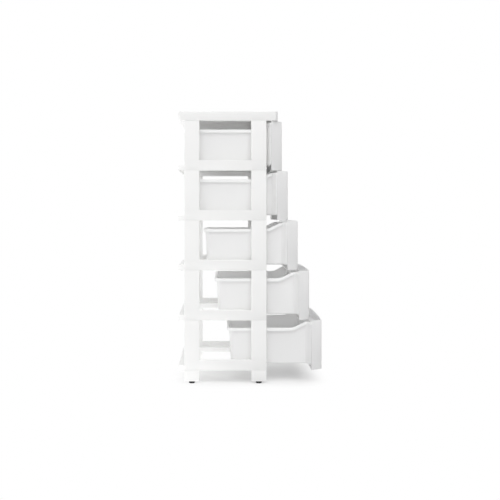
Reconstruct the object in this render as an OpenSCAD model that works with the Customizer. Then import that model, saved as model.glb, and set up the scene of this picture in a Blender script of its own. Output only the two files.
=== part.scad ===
// White moulded plastic drawer tower: five deep drawers slide on the ledges of stacked tier frames.
// Lengths are in millimetres. X runs across the tower, the drawers open towards -Y, and Z is up.

/* [View] */
// Piece to draw, or all of them

/* [Tower] */
// Width over the side faces
tower_w = 390; // [370:2:420]
// Depth over the front and rear posts
posts_d = 288; // [270:2:310]
// Height from one tier frame to the next
tier_h = 175; // [170:1:190]
// Wall of the frame mouldings
frame_wall = 2.5; // [2:0.1:3]

/* [Tier frame] */
// Width of a post, seen from the side
post_w = 53; // [46:1:60]
// Thickness of a post, seen from the front
post_t = 14; // [12:0.5:15]
// Rounding of the upright edges of the posts
post_r = 2; // [1:0.5:3]
// Height of the side rails
rail_h = 36; // [30:1:44]
// Height of the ledge that a drawer slides on
ledge_h = 18; // [14:1:22]
// How far the ledge reaches in from the side face
ledge_reach = 42; // [38:1:50]
// Width of the cross beams at the front and the back, seen from above
beam_w = 34; // [26:1:44]
// How far the back beam stands out behind the rear posts
back_out = 20.5; // [10:0.5:24]
// Rounding of the opening inside the ring
ring_r = 12; // [6:1:18]
// Thickness of the stiffening ribs
rib_t = 2; // [1.5:0.1:2.5]
// How far the guide ribs reach in from a post's inner face
guide_reach = 13; // [8:0.5:14]
// Distance of the guide ribs from the middle of the tower
guide_y = 63; // [40:1:80]
// Height of the spigots that stack one frame on the next
spigot_h = 12; // [8:1:18]

/* [Top] */
// Height of the top panel
top_h = 32; // [26:1:40]
// How far the top panel stands out in front of the posts
top_out = 40; // [30:1:48]
// Rounding of the corners of the top, seen from above
top_corner_r = 11; // [8:1:18]
// Rounding of the upper edge of the top
top_edge_r = 3; // [2:0.5:5]

/* [Legs and feet] */
// Height of a leg
leg_h = 38; // [30:1:50]
// Thickness of a leg, seen from the front
leg_t = 26; // [24:1:32]
// Diameter of a glide foot
foot_d = 21; // [16:1:22]
// Height of a glide foot below the leg
foot_h = 8; // [5:0.5:12]
// Diameter of the stem that holds the foot in the leg
stem_d = 8; // [6:0.5:9]
// Length of the stem
stem_h = 12; // [8:1:16]

/* [Drawer] */
// How far a closed drawer stands out in front of the posts
front_out = 59; // [56:1:66]
// How far a closed drawer's rear rim stands inside the back of the rear posts
rear_room = 8; // [2:1:30]
// Gap between the side face of the tower and the drawer rim
rim_side_gap = 17.5; // [17:0.1:20]
// Distance from the drawer rim up to the tier frame above
rim_drop = 29.5; // [25:0.5:45]
// Rise of the rim towards the front
rim_rise = 22; // [8:1:22]
// Overhang of the rim
rim_out = 8; // [5:0.5:9]
// Depth of the rim's skirt
rim_skirt = 11; // [8:0.5:14]
// Lean of the rim's skirt, in degrees
skirt_draft = 6; // [0:0.5:8]
// Wall of a drawer
tub_wall = 2.5; // [2:0.1:3]
// Lean of the drawer walls, in degrees
tub_draft = 3; // [1:0.25:3.5]
// Rounding of the rear corners of a drawer
tub_corner_r = 16; // [12:1:24]
// Rounding between the walls and the bottom of a drawer
tub_floor_r = 5; // [3:0.5:6]
// Where the rim starts to rise, from the front plane
rise_from = 115; // [100:1:130]
// Where the rim has risen, from the front plane
rise_to = 55; // [48:1:58]
// Where the sides start to flare, from the front plane
flare_from = 61; // [60:1:72]

/* [Drawer front] */
// Distance between the front and the frame above it
front_top_gap = 1.5; // [1:0.5:8]
// Height of the front's lower edge above the bottom of its tier frame
front_low = 1; // [0.5:0.5:6]
// Depth of the front from its plane to the edge of its sides
front_d = 42; // [36:1:44]
// Bow of the front face
front_bow = 3; // [1:0.5:6]
// Rounding of the front's upright edges
front_r = 14; // [6:0.5:16]
// Slant of the front's sides, in degrees
front_slant = 33; // [24:1:36]

/* [Fits] */
// Clearance between a drawer and the ledges under it
run_gap = 0.3; // [0.2:0.05:0.5]
// Gap between the edges of a drawer's front and its tub
tub_gap = 0.5; // [0.3:0.1:2]
// Clearance round each spigot
spigot_gap = 0.25; // [0.15:0.05:0.4]
// Clearance round a foot's stem
stem_gap = 0.1; // [0.05:0.05:0.2]
// Distance of the drawer's widest edges inside the side faces
edge_gap = 0.5; // [0.3:0.1:1.5]

/* [Rest positions] */
// How far the lowest drawer stands open
pull_1 = 141; // [0:1:190]
// How far the second drawer stands open
pull_2 = 97; // [0:1:190]
// How far the third drawer stands open
pull_3 = 56.5; // [0:0.5:190]
// How far the fourth drawer stands open
pull_4 = 21; // [0:1:190]
// How far the top drawer stands open
pull_5 = 0; // [0:1:190]

/* [Hidden] */
pull = [pull_1, pull_2, pull_3, pull_4, pull_5];
tiers = len(pull);
sides = ["left", "right"];
ends = ["front", "rear"];

white = [0.93, 0.93, 0.93];
soft_white = [0.9, 0.9, 0.9];
black = [0.06, 0.06, 0.06];
round_fn = 48;   // facets of the round parts in the preview
through = 1;     // how far a cutter passes the face that it opens

half_w = tower_w / 2;
half_d = posts_d / 2;
post_x = half_w - post_t / 2;
post_y = half_d - post_w / 2;
leg_x = half_w - leg_t / 2;
frame_z = foot_h + leg_h;
top_z = frame_z + tiers * tier_h;

// The origin is on the floor in the middle of everything, with the drawers as far open as they stand
front_plane = -half_d - front_out;
mid_y = (front_plane - max(pull) + half_d + back_out) / 2;

rail_span = posts_d - 2 * post_w;
ring_mid_y = back_out / 2;
ring_d = posts_d + back_out;
hole_w = tower_w - 2 * ledge_reach;
hole_d = ring_d - 2 * beam_w;
beam_rib_count = 5;

function tier_z(k) = frame_z + (k - 1) * tier_h;
function end_sign(e) = e == "front" ? -1 : 1;
function side_sign(s) = s == "left" ? -1 : 1;
function ease(t) = let (c = max(0, min(1, t))) c * c * (3 - 2 * c);

// ---- shared shapes ----

// Rectangle with round corners, centred
module round_rect(w, d, r) {
    square([w - 2 * r, d], center = true);
    square([w, d - 2 * r], center = true);
    for (i = [-1, 1], j = [-1, 1])
        translate([i * (w / 2 - r), j * (d / 2 - r)])
            circle(r, $fn = round_fn);
}

module post_outline() {
    round_rect(post_t, post_w, post_r);
}

module post_cavity_outline(gap = 0) {
    inner_r = max(post_r - frame_wall, 0.5);
    round_rect(post_t - 2 * frame_wall - 2 * gap, post_w - 2 * frame_wall - 2 * gap, inner_r);
}

module at_posts() {
    for (i = [-1, 1], j = [-1, 1])
        translate([i * post_x, j * post_y, 0])
            children();
}

// Plate that closes the lower end of a post, with the hollow spigot that enters the piece below
module post_end() {
    spigot_wall = frame_wall * 0.8;
    linear_extrude(frame_wall)
        post_outline();
    translate([0, 0, -spigot_h])
        linear_extrude(spigot_h + frame_wall / 2)
            difference() {
                post_cavity_outline(spigot_gap);
                post_cavity_outline(spigot_gap + spigot_wall);
            }
}

// ---- tier frame ----

module ring_outline() {
    difference() {
        translate([0, ring_mid_y])
            round_rect(tower_w, ring_d, post_r);
        translate([0, ring_mid_y])
            round_rect(hole_w, hole_d, ring_r);
    }
}

// The hollow under the ring, one wall inside its outline
module ring_hollow_outline() {
    difference() {
        translate([0, ring_mid_y])
            round_rect(tower_w - 2 * frame_wall, ring_d - 2 * frame_wall, post_r);
        translate([0, ring_mid_y])
            round_rect(hole_w + 2 * frame_wall, hole_d + 2 * frame_wall, ring_r + frame_wall);
    }
}

// Stiffening ribs under the ledges and the cross beams
module ring_ribs() {
    rib_h = ledge_h - frame_wall / 2;
    ledge_w = ledge_reach - frame_wall;
    for (i = [-1, 1], y = [-guide_y, 0, guide_y])
        translate([i * (half_w - frame_wall / 2 - ledge_w / 2), y, rib_h / 2])
            cube([ledge_w, rib_t, rib_h], center = true);
    pitch = hole_w / beam_rib_count;
    for (n = [0:beam_rib_count - 1], j = [-1, 1])
        translate([(n - (beam_rib_count - 1) / 2) * pitch,
                   ring_mid_y + j * (ring_d - beam_w) / 2, rib_h / 2])
            cube([rib_t, beam_w - frame_wall, rib_h], center = true);
}

// Side rail between the posts, an upturned channel above the ledge
module side_rail() {
    channel_w = post_t - 2 * frame_wall;
    difference() {
        translate([post_x - post_t / 2, -half_d + post_w / 2, 0])
            cube([post_t, posts_d - post_w, rail_h]);
        translate([post_x - channel_w / 2, -rail_span / 2, -through])
            cube([channel_w, rail_span, rail_h - frame_wall + through]);
        translate([post_x - post_t / 2 - through, -rail_span / 2, -through])
            cube([frame_wall + 2 * through, rail_span, ledge_h - frame_wall + through]);
    }
    for (y = [-guide_y, 0, guide_y])
        translate([post_x, y, rail_h / 2 + ledge_h / 4])
            cube([channel_w + frame_wall, rib_t, rail_h - ledge_h / 2 - frame_wall], center = true);
}

// Upright guide rib on the inner face of a rail, with its top corner cut back
module guide_rib() {
    root_x = post_x - post_t / 2 + frame_wall / 2;
    tip_x = post_x - post_t / 2 - guide_reach;
    cut = guide_reach / 2;
    rib_top = rail_h - frame_wall / 2;
    translate([0, rib_t / 2, 0])
        rotate([90, 0, 0])
            linear_extrude(rib_t)
                polygon([[root_x, ledge_h - frame_wall / 2], [tip_x, ledge_h - frame_wall / 2],
                         [tip_x, rib_top - cut], [tip_x + cut, rib_top], [root_x, rib_top]]);
}

// Ring with ledges, cross beams, side rails and the roots of its four posts
module tier_ring(k) {
    color(white)
        translate([0, -mid_y, tier_z(k)]) {
            difference() {
                union() {
                    difference() {
                        linear_extrude(ledge_h)
                            ring_outline();
                        translate([0, 0, -through])
                            linear_extrude(ledge_h - frame_wall + through)
                                ring_hollow_outline();
                    }
                    ring_ribs();
                    for (m = [0, 1])
                        mirror([m, 0, 0]) {
                            side_rail();
                            for (y = [-guide_y, guide_y])
                                translate([0, y, 0])
                                    guide_rib();
                        }
                    at_posts()
                        linear_extrude(rail_h)
                            post_outline();
                }
                at_posts()
                    translate([0, 0, frame_wall])
                        linear_extrude(rail_h)
                            post_cavity_outline();
            }
            at_posts()
                post_end();
        }
}

// Hollow post that grows out of the ring's rail and ends under the next ring
module post(k, e, s) {
    color(white)
        translate([side_sign(s) * post_x, end_sign(e) * post_y - mid_y, tier_z(k) + rail_h])
            linear_extrude(tier_h - rail_h)
                difference() {
                    post_outline();
                    post_cavity_outline();
                }
}

// ---- top panel ----

top_d = posts_d + top_out + back_out;
top_mid_y = (back_out - top_out) / 2;

// Quarter profile of the slab's edge: a straight skirt that rounds over into the top
module edge_profile(reach) {
    square([reach, top_h - top_edge_r]);
    square([reach - top_edge_r, top_h]);
    translate([reach - top_edge_r, top_h - top_edge_r])
        circle(top_edge_r, $fn = round_fn);
}

// Slab with round corners and a rounded upper edge
module top_slab() {
    core_w = tower_w - 2 * top_corner_r;
    core_d = top_d - 2 * top_corner_r;
    translate([-core_w / 2, -core_d / 2, 0])
        cube([core_w, core_d, top_h]);
    for (i = [-1, 1], j = [-1, 1])
        translate([i * core_w / 2, j * core_d / 2, 0])
            rotate_extrude($fn = round_fn)
                intersection() {
                    edge_profile(top_corner_r);
                    square([top_corner_r, top_h]);
                }
    for (m = [0, 1]) {
        mirror([m, 0, 0])
            translate([core_w / 2, core_d / 2, 0])
                rotate([90, 0, 0])
                    linear_extrude(core_d)
                        edge_profile(top_corner_r);
        mirror([0, m, 0])
            translate([-core_w / 2, core_d / 2, 0])
                rotate([90, 0, 90])
                    linear_extrude(core_w)
                        edge_profile(top_corner_r);
    }
}

// Double-walled panel: a slab with a flat underside and a sealed hollow inside
module top_panel() {
    color(white)
        translate([0, -mid_y, top_z]) {
            translate([0, top_mid_y, 0])
                difference() {
                    top_slab();
                    translate([0, 0, frame_wall])
                        linear_extrude(top_h - 2 * frame_wall)
                            round_rect(tower_w - 2 * frame_wall, top_d - 2 * frame_wall,
                                       top_corner_r - frame_wall);
                }
            at_posts()
                post_end();
        }
}

// ---- legs and feet ----

// Hollow block under a post: a socket for the spigot, a cored pocket beside it and a boss for the stem
module leg(e, s) {
    pocket_w = leg_t - post_t - frame_wall;
    floor_t = 2 * frame_wall;
    boss_d = stem_d + 2 * frame_wall;
    color(white)
        translate([side_sign(s) * leg_x, end_sign(e) * post_y - mid_y, foot_h])
            difference() {
                union() {
                    difference() {
                        linear_extrude(leg_h)
                            round_rect(leg_t, post_w, post_r);
                        translate([0, 0, floor_t])
                            linear_extrude(leg_h)
                                translate([side_sign(s) * (leg_t - post_t) / 2, 0])
                                    post_cavity_outline();
                        translate([-side_sign(s) * (leg_t / 2 - frame_wall - pocket_w / 2), 0, floor_t])
                            linear_extrude(leg_h)
                                round_rect(pocket_w, post_w - 2 * frame_wall, post_r / 2);
                    }
                    cylinder(h = stem_h + floor_t, d = boss_d, $fn = round_fn);
                }
                translate([0, 0, -through])
                    cylinder(h = stem_h + 2 * through, d = stem_d + 2 * stem_gap, $fn = round_fn);
            }
}

// Glide foot: a disc with a rounded lower edge and a stem
module foot(e, s) {
    foot_edge = foot_h / 4;
    color(black)
        translate([side_sign(s) * leg_x, end_sign(e) * post_y - mid_y, 0])
            rotate_extrude($fn = round_fn)
                intersection() {
                    union() {
                        translate([0, foot_edge])
                            square([foot_d / 2, foot_h - foot_edge]);
                        square([foot_d / 2 - foot_edge, foot_h]);
                        translate([foot_d / 2 - foot_edge, foot_edge])
                            circle(foot_edge, $fn = round_fn);
                        square([stem_d / 2, foot_h + stem_h]);
                    }
                    square([foot_d, foot_h + stem_h]);
                }
}

// ---- drawer tub ----
// A tub is one closed skin lofted through level rings. Each ring follows the same outline in plan:
// straight drafted sides that flare at the front, round rear corners, and a rim that sweeps upwards.

tub_z = ledge_h + run_gap;
rim_z = tier_h - rim_drop;      // height of the rim above the bottom of its tier frame
rim_left = 2 / 5;               // share of the rim's overhang that is left at the front
rim_front = tub_gap * 4 / 5;    // how far the rim stands ahead of the tub's front wall, within its gap
wall_half = half_w - rim_side_gap - rim_out;
flare_half = half_w - edge_gap - rim_out * rim_left;
tub_start = front_d + tub_gap;
tub_l = posts_d + front_out - rear_room - rim_out;
lean = tan(tub_draft);
quarter_turn = 90;
flare_steps = 6;
across_steps = 2;    // steps at the start of the flare in which the wall turns to its measured width
rise_steps = 6;
corner_steps = 5;
fillet_steps = 3;

// Distances along a side: the flare, then the sweep of the rim, then the start of the rear corner
side_stations = concat(
    [for (i = [0:flare_steps]) tub_start + (flare_from - tub_start) * i / flare_steps],
    [for (i = [1:rise_steps]) flare_from + (rise_from - flare_from) * i / rise_steps]
);

function rise(d) = rim_rise * ease((rise_from - d) / (rise_from - rise_to));
function flare_share(d) = min(1, max(0, (flare_from - d) / (flare_from - tub_start)));
function flare(d) = let (t = flare_share(d)) (t + ease(t)) / 2;
function side_x(d, z) = let (w = wall_half - (rim_z - z) * lean) w + (flare_half - w) * flare(d);

// Overhang of the rim, which grows narrower from a little behind the flare to where the rim has risen
function overhang(d) = let (start = flare_from + rim_out)
    rim_out * (1 - (1 - rim_left) * ease((start - d) / (start - rise_to)));

// Width of a wall of thickness 1, measured straight across the tub, where the side slants out
function across(d, z) = let (slope = side_x(d, z) - side_x(d + 1, z))
    1 + (sqrt(1 + slope * slope) - 1) * min(1, flare_share(d) * flare_steps / across_steps);

// One point on a side: level is [height, follows the rim, inset from the wall, share of the overhang]
function side_point(d, level) =
    let (y = d + (level[2] - level[3] * rim_front) * flare_share(d), z = level[0] + level[1] * rise(y))
    [side_x(y, z) - level[2] * across(y, z) + level[3] * overhang(y), y, z];

// One point on the rear corner, a degrees round from the side towards the back
function corner_point(a, level) =
    let (z = level[0], back = (rim_z - z) * lean, out = level[3] * rim_out - level[2],
         r = tub_corner_r + out)
    [wall_half - back - tub_corner_r + r * cos(a), tub_l - back - tub_corner_r + r * sin(a), z];

function half_ring(level) = concat(
    [for (d = side_stations) side_point(d, level)],
    [for (i = [0:corner_steps]) corner_point(quarter_turn * i / corner_steps, level)]
);
function reversed(list) = [for (i = [len(list) - 1:-1:0]) list[i]];
function ring(level) = let (h = half_ring(level))
    concat(h, [for (p = reversed(h)) [-p[0], p[1], p[2]]]);

fillet_turns = [for (i = [0:fillet_steps]) quarter_turn * i / fillet_steps];
function fillet_levels(z, r, inset) =
    [for (a = fillet_turns) [z + r * (1 - cos(a)), 0, inset + r * (1 - sin(a)), 0]];

skirt_in = 1 / 2;      // share of the overhang where the skirt's inner face stands
rim_edge = 1;          // rounding of the rim's outer edge
skirt_top = 1 - (rim_skirt - rim_edge) * tan(skirt_draft) / rim_out;      // share at the skirt's upper end
tub_levels = concat(
    fillet_levels(tub_z, tub_floor_r, 0),
    [
        [rim_z - tub_wall, 1, 0, 0],
        [rim_z - tub_wall, 1, 0, skirt_in],
        [rim_z - rim_skirt, 1, 0, skirt_in],
        [rim_z - rim_skirt, 1, 0, 1],
        [rim_z - rim_edge, 1, 0, skirt_top],
        [rim_z, 1, rim_edge, skirt_top],
        [rim_z, 1, tub_wall, 0]
    ],
    reversed(fillet_levels(tub_z + tub_wall, tub_floor_r - tub_wall / 2, tub_wall))
);

// Triangles that close a ring from side to side; the first point of the ring has this index
function cap(first, n) = [for (i = [0:n / 2 - 2], t = [0, 1])
    t == 0 ? [first + i, first + i + 1, first + n - 2 - i]
           : [first + i, first + n - 2 - i, first + n - 1 - i]];

// Closed skin over the rings, from the underside out, over the rim and down to the inner floor
module loft(rings) {
    n = len(rings[0]);
    last = len(rings) - 1;
    polyhedron(
        points = [for (r = rings) each r],
        faces = concat(
            cap(0, n),
            [for (k = [0:last - 1], i = [0:n - 1]) let (j = (i + 1) % n)
                [k * n + i, (k + 1) * n + i, (k + 1) * n + j]],
            [for (k = [0:last - 1], i = [0:n - 1]) let (j = (i + 1) % n)
                [k * n + i, (k + 1) * n + j, k * n + j]],
            [for (t = cap(last * n, n)) reversed(t)]
        )
    );
}

module at_drawer(k) {
    translate([0, front_plane - pull[k - 1] - mid_y, tier_z(k)])
        children();
}

module drawer_tub(k) {
    color(soft_white)
        at_drawer(k)
            loft([for (level = tub_levels) ring(level)]);
}

// ---- drawer front ----
// A hollow front open at the top and towards the tub. Its outline is a shallow bow, a tight round
// edge and a slanted side, and the same outline moved in by a wall gives the hollow.

return_x = half_w - edge_gap;
slant_turn = 90 - front_slant;
slant_d = front_d - front_bow - front_r * (1 - cos(slant_turn));
corner_w = return_x - slant_d * tan(front_slant) - front_r * sin(slant_turn);
bow_r = (corner_w * corner_w + front_bow * front_bow) / (2 * front_bow);
bow_turn = asin(corner_w / bow_r);
edge_mid = [corner_w - front_r * sin(bow_turn), front_bow + front_r * cos(bow_turn)];
edge_end = [edge_mid[0] + front_r * sin(slant_turn), edge_mid[1] - front_r * cos(slant_turn)];
front_top = tier_h - front_top_gap;
front_web_count = 6;

function front_half(inset, d_end) = concat(
    [for (a = [0:bow_turn / 6:bow_turn - bow_turn / 12])
        [(bow_r - inset) * sin(a), bow_r - (bow_r - inset) * cos(a)]],
    [for (i = [0:6]) let (a = bow_turn + (slant_turn - bow_turn) * i / 6)
        edge_mid + (front_r - inset) * [sin(a), -cos(a)]],
    [[edge_end[0] + (d_end - edge_end[1]) * tan(front_slant) - inset / cos(front_slant), d_end]]
);

module front_outline(inset, d_end) {
    h = front_half(inset, d_end);
    polygon(concat(h, [for (i = [len(h) - 1:-1:1]) [-h[i][0], h[i][1]]]));
}

// Upright webs that join the front to the tub's front wall
module front_webs() {
    web_start = front_bow + tub_wall / 2;
    bearing_z = tub_z + tub_floor_r;
    pitch = 2 * corner_w / (front_web_count + 1);
    for (n = [1:front_web_count])
        translate([(n - (front_web_count + 1) / 2) * pitch - rib_t / 2, 0, 0]) {
            translate([0, web_start, front_low])
                cube([rib_t, front_d - web_start, rim_z - front_low]);
            translate([0, front_d - through, bearing_z])
                cube([rib_t, tub_start - front_d + through, rim_z - bearing_z]);
        }
}

module drawer_front(k) {
    color(white)
        at_drawer(k) {
            difference() {
                translate([0, 0, front_low])
                    linear_extrude(front_top - front_low)
                        front_outline(0, front_d);
                translate([0, 0, front_low + tub_wall])
                    linear_extrude(tier_h)
                        front_outline(tub_wall, front_d + through);
            }
            front_webs();
        }
}

// ---- pieces ----

top_panel();
for (k = [1:tiers]) {
    tier_ring(k);
    for (e = ends, s = sides)
        post(k, e, s);
    drawer_tub(k);
    drawer_front(k);
}
for (e = ends, s = sides) {
    leg(e, s);
    foot(e, s);
}
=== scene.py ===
"""Looks of a white moulded plastic drawer tower, in metres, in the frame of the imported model.

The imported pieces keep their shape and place. Each one gets softened edges and the finish of the
plastic that it is moulded from, and the tower stands on a plain pale floor in soft light.
"""

import logging
import math
from dataclasses import dataclass
from enum import Enum

import bmesh
import bpy
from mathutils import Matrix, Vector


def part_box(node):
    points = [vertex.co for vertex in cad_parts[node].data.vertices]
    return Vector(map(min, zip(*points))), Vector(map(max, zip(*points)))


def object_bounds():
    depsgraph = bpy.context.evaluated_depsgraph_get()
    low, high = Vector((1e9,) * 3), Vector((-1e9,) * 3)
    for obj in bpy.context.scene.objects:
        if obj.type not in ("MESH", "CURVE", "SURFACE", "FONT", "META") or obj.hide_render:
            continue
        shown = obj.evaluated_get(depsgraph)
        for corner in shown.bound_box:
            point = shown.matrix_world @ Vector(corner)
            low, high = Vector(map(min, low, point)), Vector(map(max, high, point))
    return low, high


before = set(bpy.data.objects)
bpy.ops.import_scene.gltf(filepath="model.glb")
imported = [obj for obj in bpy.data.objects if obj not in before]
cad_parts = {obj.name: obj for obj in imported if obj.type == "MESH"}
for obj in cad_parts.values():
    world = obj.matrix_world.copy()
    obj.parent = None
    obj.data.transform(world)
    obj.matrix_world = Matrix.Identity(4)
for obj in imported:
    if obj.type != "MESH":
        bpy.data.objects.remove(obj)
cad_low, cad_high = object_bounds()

log = logging.getLogger("drawer_tower")

MM = 0.001
TIERS = range(1, 6)
ENDS = ("front", "rear")
SIDES = ("left", "right")
WHITE = "#FFFFFF"


def linear(hex_colour: str) -> tuple[float, float, float, float]:
    """Turn an sRGB hex colour into the linear values that a shader takes.

    Args:
        hex_colour: Six hex digits after a hash.

    Returns:
        Linear red, green and blue with an alpha of one.
    """
    parts = [int(hex_colour[i:i + 2], 16) / 255 for i in (1, 3, 5)]
    red, green, blue = [p / 12.92 if p <= 0.04045 else ((p + 0.055) / 1.055) ** 2.4 for p in parts]
    return (red, green, blue, 1.0)


def add_node(
    tree: bpy.types.NodeTree,
    kind: str,
    settings: dict[str, object] | None = None,
    inputs: dict[str | int, object] | None = None,
) -> bpy.types.Node:
    """Add one node with its settings, values and links.

    Args:
        tree: The node tree to add to.
        kind: The node's type name.
        settings: Properties of the node itself.
        inputs: A value, or an output socket to link from, for each named or numbered input.

    Returns:
        The new node.
    """
    node = tree.nodes.new(kind)
    for name, value in (settings or {}).items():
        setattr(node, name, value)
    for name, value in (inputs or {}).items():
        socket = node.inputs[name]
        if isinstance(value, bpy.types.NodeSocket):
            tree.links.new(value, socket)
        else:
            socket.default_value = value
    return node


class Gloss(Enum):
    """How a mould surface leaves the plastic: the value is the roughness."""

    SEMI_GLOSS = 0.30
    SATIN = 0.40
    MATT = 0.58


class Joint(Enum):
    """Where a piece runs on into the next one in the same moulding, so that no line shows there."""

    NOWHERE = "nowhere"
    LOWER_END = "lower end"
    UPPER_END = "upper end"


@dataclass(frozen=True)
class MouldedPlastic:
    """An injection-moulded plastic with a fine spark-eroded grain, sink waves and flow lines."""

    name: str
    colour: str
    shade: str
    gloss: Gloss
    grain_mm: float = 1.6
    grain_height_mm: float = 0.012
    wave_mm: float = 55.0
    wave_height_mm: float = 0.10
    flow_mm: float = 165.0
    roughness_below: float = 0.04
    roughness_above: float = 0.05
    translucency: float = 0.0
    glow_depth_mm: float = 6.0
    ior: float = 1.49

    def noise(
        self, tree: bpy.types.NodeTree, size_mm: float, detail: float, roughness: float
    ) -> bpy.types.NodeSocket:
        """Add a noise pattern that is fixed to the piece.

        Args:
            tree: The material's node tree.
            size_mm: Real size of one cell of the pattern.
            detail: How many finer layers it has.
            roughness: How strongly the finer layers count.

        Returns:
            The pattern, from zero to one.
        """
        place = add_node(tree, "ShaderNodeTexCoord").outputs["Object"]
        return add_node(tree, "ShaderNodeTexNoise", inputs={
            "Vector": place, "Scale": 1 / (size_mm * MM), "Detail": detail, "Roughness": roughness,
        }).outputs["Fac"]

    def build(self) -> bpy.types.Material:
        """Make the material.

        Returns:
            The finished material.
        """
        material = bpy.data.materials.new(self.name)
        material.use_nodes = True
        tree = material.node_tree
        tree.nodes.clear()
        # Flow lines: the melt leaves very faint broad bands of a slightly deeper white.
        flow = self.noise(tree, self.flow_mm, detail=2.0, roughness=0.5)
        tint = add_node(tree, "ShaderNodeMix", {"data_type": "RGBA"}, {
            0: flow, 6: linear(self.colour), 7: linear(self.shade)})
        # Sink waves: the wall shrinks a little as it cools, so the surface is never quite flat.
        wave = self.noise(tree, self.wave_mm, detail=1.0, roughness=0.4)
        sink = add_node(tree, "ShaderNodeBump", inputs={
            "Height": wave, "Strength": 1.0, "Distance": self.wave_height_mm * MM})
        # Mould grain: real grain is near 0.2 mm, drawn coarser so that it shows close up.
        grain = self.noise(tree, self.grain_mm, detail=3.0, roughness=0.6)
        relief = add_node(tree, "ShaderNodeBump", inputs={
            "Height": grain, "Strength": 1.0, "Distance": self.grain_height_mm * MM,
            "Normal": sink.outputs["Normal"]})
        # The grain's hollows shine a little more than its peaks.
        rough = add_node(tree, "ShaderNodeMapRange", inputs={
            "Value": grain, "From Min": 0.3, "From Max": 0.7,
            "To Min": self.gloss.value - self.roughness_below,
            "To Max": self.gloss.value + self.roughness_above})
        shader = add_node(tree, "ShaderNodeBsdfPrincipled", inputs={
            "Base Color": tint.outputs[2], "Roughness": rough.outputs["Result"],
            "Normal": relief.outputs["Normal"], "IOR": self.ior})
        if self.translucency:
            shader.inputs["Subsurface Weight"].default_value = self.translucency
            shader.inputs["Subsurface Radius"].default_value = (1.0, 1.0, 1.0)
            shader.inputs["Subsurface Scale"].default_value = self.glow_depth_mm * MM
        add_node(tree, "ShaderNodeOutputMaterial", inputs={"Surface": shader.outputs["BSDF"]})
        return material


@dataclass(frozen=True)
class EdgeSoftening:
    """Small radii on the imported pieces' sharp edges, and smooth shading across their curves."""

    radius_mm: float = 0.5
    sharp_deg: float = 32.0
    segments: int = 2
    joined_at: Joint = Joint.NOWHERE
    weld_mm: float = 0.002
    joint_room_mm: float = 0.05

    def shared_tree(
        self, name: str
    ) -> tuple[bpy.types.NodeTree, bpy.types.Node, bpy.types.NodeSocket]:
        """Start a modifier tree that takes and gives a mesh.

        Args:
            name: The tree's name.

        Returns:
            The tree, its entry node and the angle of each edge.
        """
        tree = bpy.data.node_groups.new(name, "GeometryNodeTree")
        for way in ("INPUT", "OUTPUT"):
            tree.interface.new_socket("Geometry", in_out=way, socket_type="NodeSocketGeometry")
        entry = add_node(tree, "NodeGroupInput")
        angle = add_node(tree, "GeometryNodeInputMeshEdgeAngle").outputs["Unsigned Angle"]
        return tree, entry, angle

    def marking(self, joint_m: float) -> bpy.types.NodeTree:
        """Make the modifier tree that marks the edges to round.

        Args:
            joint_m: Height of the plane in which the piece runs on into the next one.

        Returns:
            The node group, made once for each angle and height.
        """
        name = f"mark_sharp_edges_{self.sharp_deg:.0f}_{joint_m / MM:.0f}"
        if name in bpy.data.node_groups:
            return bpy.data.node_groups[name]
        tree, entry, angle = self.shared_tree(name)
        sharp = add_node(
            tree, "FunctionNodeCompare", {"data_type": "FLOAT", "operation": "GREATER_THAN"},
            {0: angle, 1: math.radians(self.sharp_deg)})
        place = add_node(tree, "GeometryNodeInputPosition").outputs[0]
        height = add_node(tree, "ShaderNodeSeparateXYZ", inputs={0: place}).outputs["Z"]
        free = add_node(
            tree, "FunctionNodeCompare", {"data_type": "FLOAT", "operation": "NOT_EQUAL"},
            {0: height, 1: joint_m, "Epsilon": self.joint_room_mm * MM})
        both = add_node(tree, "FunctionNodeBooleanMath", {"operation": "AND"}, {
            0: sharp.outputs[0], 1: free.outputs[0]})
        marked = add_node(
            tree, "GeometryNodeStoreNamedAttribute", {"data_type": "FLOAT", "domain": "EDGE"},
            {"Geometry": entry.outputs[0], "Name": "bevel_weight_edge", "Value": both.outputs[0]})
        add_node(tree, "NodeGroupOutput", inputs={0: marked.outputs[0]})
        return tree

    def smoothing(self) -> bpy.types.NodeTree:
        """Make the modifier tree that shades smooth all but the sharp edges.

        Returns:
            The node group, made once for each angle.
        """
        name = f"smooth_all_but_sharp_edges_{self.sharp_deg:.0f}"
        if name in bpy.data.node_groups:
            return bpy.data.node_groups[name]
        tree, entry, angle = self.shared_tree(name)
        flat = add_node(
            tree, "FunctionNodeCompare", {"data_type": "FLOAT", "operation": "LESS_THAN"},
            {0: angle, 1: math.radians(self.sharp_deg)})
        edges = add_node(tree, "GeometryNodeSetShadeSmooth", {"domain": "EDGE"}, {
            "Geometry": entry.outputs[0], "Shade Smooth": flat.outputs[0]})
        faces = add_node(tree, "GeometryNodeSetShadeSmooth", {"domain": "FACE"}, {
            "Geometry": edges.outputs[0], "Shade Smooth": True})
        add_node(tree, "NodeGroupOutput", inputs={0: faces.outputs[0]})
        return tree

    def apply_to(self, node: str) -> None:
        """Add the modifiers to a piece.

        Args:
            node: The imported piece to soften.
        """
        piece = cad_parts[node]
        low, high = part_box(node)
        below_floor_m = -1.0
        joint_m = {
            Joint.NOWHERE: below_floor_m, Joint.LOWER_END: low.z, Joint.UPPER_END: high.z,
        }[self.joined_at]
        weld = piece.modifiers.new("join_triangles", "WELD")
        weld.merge_threshold = self.weld_mm * MM
        piece.modifiers.new("mark_edges", "NODES").node_group = self.marking(joint_m)
        bevel = piece.modifiers.new("soft_edges", "BEVEL")
        bevel.width = self.radius_mm * MM
        bevel.segments = self.segments
        bevel.limit_method = "WEIGHT"
        bevel.use_clamp_overlap = True
        bevel.harden_normals = False
        piece.modifiers.new("smooth_curves", "NODES").node_group = self.smoothing()


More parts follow.
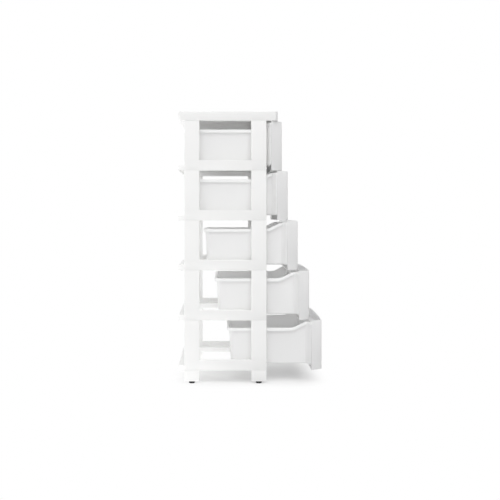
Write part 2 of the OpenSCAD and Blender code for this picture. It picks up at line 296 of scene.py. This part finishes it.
def dress(nodes: list[str], finish: MouldedPlastic, softening: EdgeSoftening) -> None:
    """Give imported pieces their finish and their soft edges.

    Args:
        nodes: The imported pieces' names.
        finish: The plastic that they are moulded from.
        softening: Their edge radius and shading.
    """
    material = bpy.data.materials.get(finish.name) or finish.build()
    for name in nodes:
        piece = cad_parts[name]
        piece.data.materials.clear()
        piece.data.materials.append(material)
        softening.apply_to(name)
        log.info("%s: %s", name, material.name)


@dataclass(frozen=True)
class TopPanel:
    """The flat top."""

    finish: MouldedPlastic
    edge_mm: float = 0.5

    def dress(self) -> None:
        """Dress the panel."""
        dress(["top_panel"], self.finish, EdgeSoftening(self.edge_mm))


@dataclass(frozen=True)
class TierFrame:
    """One tier frame: a ring, and the four posts that grow out of it in the same moulding."""

    number: int
    finish: MouldedPlastic
    edge_mm: float = 0.6

    def dress(self) -> None:
        """Dress the ring and its posts, with no line where they run into each other."""
        posts = [f"post_{self.number}_{end}_{side}" for end in ENDS for side in SIDES]
        ring_edges = EdgeSoftening(self.edge_mm, joined_at=Joint.UPPER_END)
        post_edges = EdgeSoftening(self.edge_mm, joined_at=Joint.LOWER_END)
        dress([f"tier_ring_{self.number}"], self.finish, ring_edges)
        dress(posts, self.finish, post_edges)


@dataclass(frozen=True)
class Base:
    """The four legs and the glides under them."""

    leg_finish: MouldedPlastic
    glide_finish: MouldedPlastic
    leg_edge_mm: float = 0.6
    glide_edge_mm: float = 0.3

    def dress(self) -> None:
        """Dress the legs and the glides."""
        corners = [f"{end}_{side}" for end in ENDS for side in SIDES]
        dress([f"leg_{c}" for c in corners], self.leg_finish, EdgeSoftening(self.leg_edge_mm))
        dress([f"foot_{c}" for c in corners], self.glide_finish, EdgeSoftening(self.glide_edge_mm))


@dataclass(frozen=True)
class Drawer:
    """One drawer: the tub and the hollow front that is fixed to it."""

    number: int
    tub_finish: MouldedPlastic
    front_finish: MouldedPlastic
    tub_edge_mm: float = 0.3
    tub_sharp_deg: float = 38.0
    front_edge_mm: float = 0.5

    def dress(self) -> None:
        """Dress the tub and its front."""
        tub_edges = EdgeSoftening(self.tub_edge_mm, self.tub_sharp_deg)
        dress([f"drawer_{self.number}_tub"], self.tub_finish, tub_edges)
        dress([f"drawer_{self.number}_front"], self.front_finish, EdgeSoftening(self.front_edge_mm))


@dataclass(frozen=True)
class SideLight:
    """Strength of soft light from each side of the tower."""

    beside: float
    behind: float
    front: float
    beyond: float

    def mixed(
        self, tree: bpy.types.NodeTree, weights: list[bpy.types.NodeSocket]
    ) -> bpy.types.NodeSocket:
        """Blend the four strengths.

        Args:
            tree: The node tree to add to.
            weights: How much each side counts, in the order of the fields.

        Returns:
            The blended strength.
        """
        total = 0.0
        for weight, strength in zip(weights, (self.beside, self.behind, self.front, self.beyond)):
            total = add_node(tree, "ShaderNodeMath", {"operation": "MULTIPLY_ADD"}, {
                0: weight, 1: strength, 2: total}).outputs[0]
        return total


@dataclass(frozen=True)
class SkyBand:
    """A level band of the surround between two heights, given as sines of the elevation."""

    low_sine: float
    high_sine: float
    light: SideLight


@dataclass(frozen=True)
class Studio:
    """A pale floor and a white surround that gives soft light."""

    floor_half_m: float = 14.0
    # The floor's light grey paint is seen only near the tower, where it deepens the shadow as
    # painted shade.
    floor_colour: str = "#F0F0F0"
    shadow_half_m: tuple[float, float] = (0.13, 0.15)
    shadow_fade_m: float = 0.14
    # The share of white glow mixed into the floor's shadow: painted light that lightens it.
    shadow_lift: float = 0.2
    floor_glow: SideLight = SideLight(beside=0.65, behind=1.65, front=0.45, beyond=1.9)
    bands: tuple[SkyBand, ...] = (
        SkyBand(-1.0, 0.17, SideLight(beside=1.1, behind=0.8, front=0.0, beyond=0.2)),
        SkyBand(0.17, 0.5, SideLight(beside=0.8, behind=0.0, front=0.0, beyond=0.1)),
        SkyBand(0.5, 2.0, SideLight(beside=2.9, behind=0.1, front=0.2, beyond=1.0)),
    )
    band_blend: float = 0.06
    light_bounces: int = 32

    def side_weights(
        self, tree: bpy.types.NodeTree, place: bpy.types.NodeSocket
    ) -> list[bpy.types.NodeSocket]:
        """Split the compass into four soft sides whose weights add up to one.

        Args:
            tree: The node tree to add to.
            place: A direction or a place on the floor, seen from the tower.

        Returns:
            The weights beside (-X), behind (+Y), in front (-Y) and beyond (+X).
        """
        flat = add_node(tree, "ShaderNodeVectorMath", {"operation": "MULTIPLY"}, {
            0: place, 1: (1, 1, 0)})
        level = add_node(tree, "ShaderNodeVectorMath", {"operation": "NORMALIZE"}, {
            0: flat.outputs[0]})
        weights = []
        for axis in ((-1, 0, 0), (0, 1, 0), (0, -1, 0), (1, 0, 0)):
            facing = add_node(tree, "ShaderNodeVectorMath", {"operation": "DOT_PRODUCT"}, {
                0: level.outputs[0], 1: axis})
            lit = add_node(tree, "ShaderNodeMath", {"operation": "MAXIMUM"}, {
                0: facing.outputs["Value"], 1: 0.0})
            weights.append(add_node(tree, "ShaderNodeMath", {"operation": "POWER"}, {
                0: lit.outputs[0], 1: 2.0}).outputs[0])
        return weights

    def white_where_seen(
        self, tree: bpy.types.NodeTree, strength: bpy.types.NodeSocket
    ) -> bpy.types.NodeSocket:
        """Keep a light's strength for the tower, and turn it white where it is looked at.

        Args:
            tree: The node tree to add to.
            strength: The strength of the light that falls on the tower.

        Returns:
            The strength, which is one for the camera and for reflections.
        """
        path = add_node(tree, "ShaderNodeLightPath")
        seen = add_node(tree, "ShaderNodeMath", {"operation": "MAXIMUM"}, {
            0: path.outputs["Is Camera Ray"], 1: path.outputs["Is Glossy Ray"]})
        return add_node(tree, "ShaderNodeMapRange", inputs={
            "Value": seen.outputs[0], "To Min": strength, "To Max": 1.0}).outputs["Result"]

    def sky_strength(self, tree: bpy.types.NodeTree) -> bpy.types.NodeSocket:
        """Add up the bands.

        Args:
            tree: The world's node tree.

        Returns:
            The strength of the light from the direction of a ray.
        """
        direction = add_node(tree, "ShaderNodeTexCoord").outputs["Generated"]
        height = add_node(tree, "ShaderNodeSeparateXYZ", inputs={0: direction}).outputs["Z"]
        weights = self.side_weights(tree, direction)
        total = 0.0
        for band in self.bands:
            window = 1.0
            for edge, below, above in ((band.low_sine, 0.0, 1.0), (band.high_sine, 1.0, 0.0)):
                step = add_node(tree, "ShaderNodeMapRange", {"interpolation_type": "SMOOTHSTEP"}, {
                    "Value": height, "To Min": below, "To Max": above,
                    "From Min": edge - self.band_blend, "From Max": edge + self.band_blend})
                window = add_node(tree, "ShaderNodeMath", {"operation": "MULTIPLY"}, {
                    0: window, 1: step.outputs["Result"]}).outputs[0]
            total = add_node(tree, "ShaderNodeMath", {"operation": "MULTIPLY_ADD"}, {
                0: band.light.mixed(tree, weights), 1: window, 2: total}).outputs[0]
        return total

    def surround(self) -> None:
        """Make the world: soft light, and white wherever it is looked at."""
        world = bpy.data.worlds.new("white_surround")
        bpy.context.scene.world = world
        world.use_nodes = True
        tree = world.node_tree
        tree.nodes.clear()
        light = add_node(tree, "ShaderNodeBackground", inputs={
            "Color": linear(WHITE),
            "Strength": self.white_where_seen(tree, self.sky_strength(tree))})
        add_node(tree, "ShaderNodeOutputWorld", inputs={"Surface": light.outputs[0]})

    def floor_material(self) -> bpy.types.Material:
        """Make the floor's paint: it takes the shadow under the tower and fades to plain white. Its
        light grey deepens that shadow as painted shade, and a share of white glow mixed in even
        under the tower lifts it as painted light. Away from the camera the glow lights the tower
        from below.

        Returns:
            The floor's material.
        """
        material = bpy.data.materials.new("matt_white_floor_paint")
        material.cycles.emission_sampling = "NONE"
        material.use_nodes = True
        tree = material.node_tree
        tree.nodes.clear()
        place = add_node(tree, "ShaderNodeTexCoord").outputs["Object"]
        aside = add_node(tree, "ShaderNodeVectorMath", {"operation": "ABSOLUTE"}, {0: place})
        past = add_node(tree, "ShaderNodeVectorMath", {"operation": "SUBTRACT"}, {
            0: aside.outputs[0], 1: (*self.shadow_half_m, 0.0)})
        outside = add_node(tree, "ShaderNodeVectorMath", {"operation": "MAXIMUM"}, {
            0: past.outputs[0], 1: (0.0, 0.0, 0.0)})
        reach = add_node(tree, "ShaderNodeVectorMath", {"operation": "LENGTH"}, {
            0: outside.outputs[0]})
        # Painted light: even inside the shadow box a share of the white glow is mixed in, which
        # lightens the shadow.
        fade = add_node(tree, "ShaderNodeMapRange", {"interpolation_type": "SMOOTHSTEP"}, {
            "Value": reach.outputs["Value"], "From Max": self.shadow_fade_m,
            "To Min": self.shadow_lift})
        # Painted shade: the light grey paint is seen only near the tower, where it makes the shadow
        # deeper.
        paint = add_node(tree, "ShaderNodeBsdfDiffuse", inputs={"Color": linear(self.floor_colour)})
        from_sides = self.floor_glow.mixed(tree, self.side_weights(tree, place))
        glow = add_node(tree, "ShaderNodeEmission", inputs={
            "Color": linear(WHITE), "Strength": self.white_where_seen(tree, from_sides)})
        mix = add_node(tree, "ShaderNodeMixShader", inputs={
            0: fade.outputs["Result"], 1: paint.outputs[0], 2: glow.outputs[0]})
        add_node(tree, "ShaderNodeOutputMaterial", inputs={"Surface": mix.outputs[0]})
        return material

    def floor(self) -> bpy.types.Object:
        """Lay the floor.

        Returns:
            The floor, a square sheet at the height of the glides' undersides.
        """
        shape = bmesh.new()
        bmesh.ops.create_grid(shape, x_segments=1, y_segments=1, size=self.floor_half_m)
        mesh = bpy.data.meshes.new("floor")
        shape.to_mesh(mesh)
        shape.free()
        mesh.materials.append(self.floor_material())
        floor = bpy.data.objects.new("floor", mesh)
        bpy.context.scene.collection.objects.link(floor)
        return floor

    def build(self) -> None:
        """Set the view and the light's bounces, and make the surround and the floor."""
        scene = bpy.context.scene
        scene.view_settings.view_transform = "Standard"
        scene.cycles.max_bounces = self.light_bounces
        scene.cycles.diffuse_bounces = self.light_bounces
        self.surround()
        floor = self.floor()
        log.info("%s: %s", floor.name, floor.data.materials[0].name)


@dataclass(frozen=True)
class PhotoCamera:
    """The camera of the photograph: level, and square to the tower's left side."""

    side_face_m: float
    distance_m: float = 2.547
    height_m: float = 0.588
    posts_mid_y_m: float = 0.08975
    aside_m: float = 0.0044
    lens_mm: float = 52.4
    sensor_mm: float = 36.0
    shift_x: float = 0.0518
    shift_y: float = -0.0688

    def build(self) -> None:
        """Make the camera and set it as the scene's."""
        data = bpy.data.cameras.new("photo_camera")
        data.sensor_width = self.sensor_mm
        data.lens = self.lens_mm
        data.shift_x = self.shift_x
        data.shift_y = self.shift_y
        camera = bpy.data.objects.new("photo_camera", data)
        along_y_m = self.posts_mid_y_m + self.aside_m
        camera.location = (self.side_face_m - self.distance_m, along_y_m, self.height_m)
        camera.rotation_euler = (math.radians(90), 0.0, math.radians(-90))
        bpy.context.scene.collection.objects.link(camera)
        bpy.context.scene.camera = camera


# Injection-moulded polypropylene: a milky white with a soft waxy sheen and no sharp highlights.
FRAME_PLASTIC = MouldedPlastic(
    "satin_moulded_polypropylene_frame", "#F9F9F8", "#F8F8F7", Gloss.SATIN, translucency=0.3)
# The tubs have thinner walls and a finer grain, so they look a touch greyer.
TUB_PLASTIC = MouldedPlastic(
    "fine_moulded_polypropylene_tub", "#F8F8F8", "#F7F7F7", Gloss.SATIN,
    grain_mm=1.2, translucency=0.3)
# The fronts come from a smoother mould and carry a slightly brighter sheen.
FRONT_PLASTIC = MouldedPlastic(
    "smooth_moulded_polypropylene_front", "#F9F9F9", "#F8F8F8", Gloss.SEMI_GLOSS,
    grain_mm=2.0, grain_height_mm=0.006, translucency=0.3)
# Moulded black polyethylene: dull, slightly grainy, with no sheen.
GLIDE_PLASTIC = MouldedPlastic(
    "matt_moulded_polyethylene_glide", "#1A1A1B", "#141415", Gloss.MATT, grain_mm=1.0)


def main() -> None:
    """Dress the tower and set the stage."""
    logging.basicConfig(level=logging.INFO, format="%(name)s: %(message)s")
    TopPanel(FRAME_PLASTIC).dress()
    for number in TIERS:
        TierFrame(number, FRAME_PLASTIC).dress()
    Base(FRAME_PLASTIC, GLIDE_PLASTIC).dress()
    for number in TIERS:
        Drawer(number, TUB_PLASTIC, FRONT_PLASTIC).dress()
    Studio().build()
    PhotoCamera(side_face_m=cad_low.x).build()


if __name__ == "__main__":
    main()
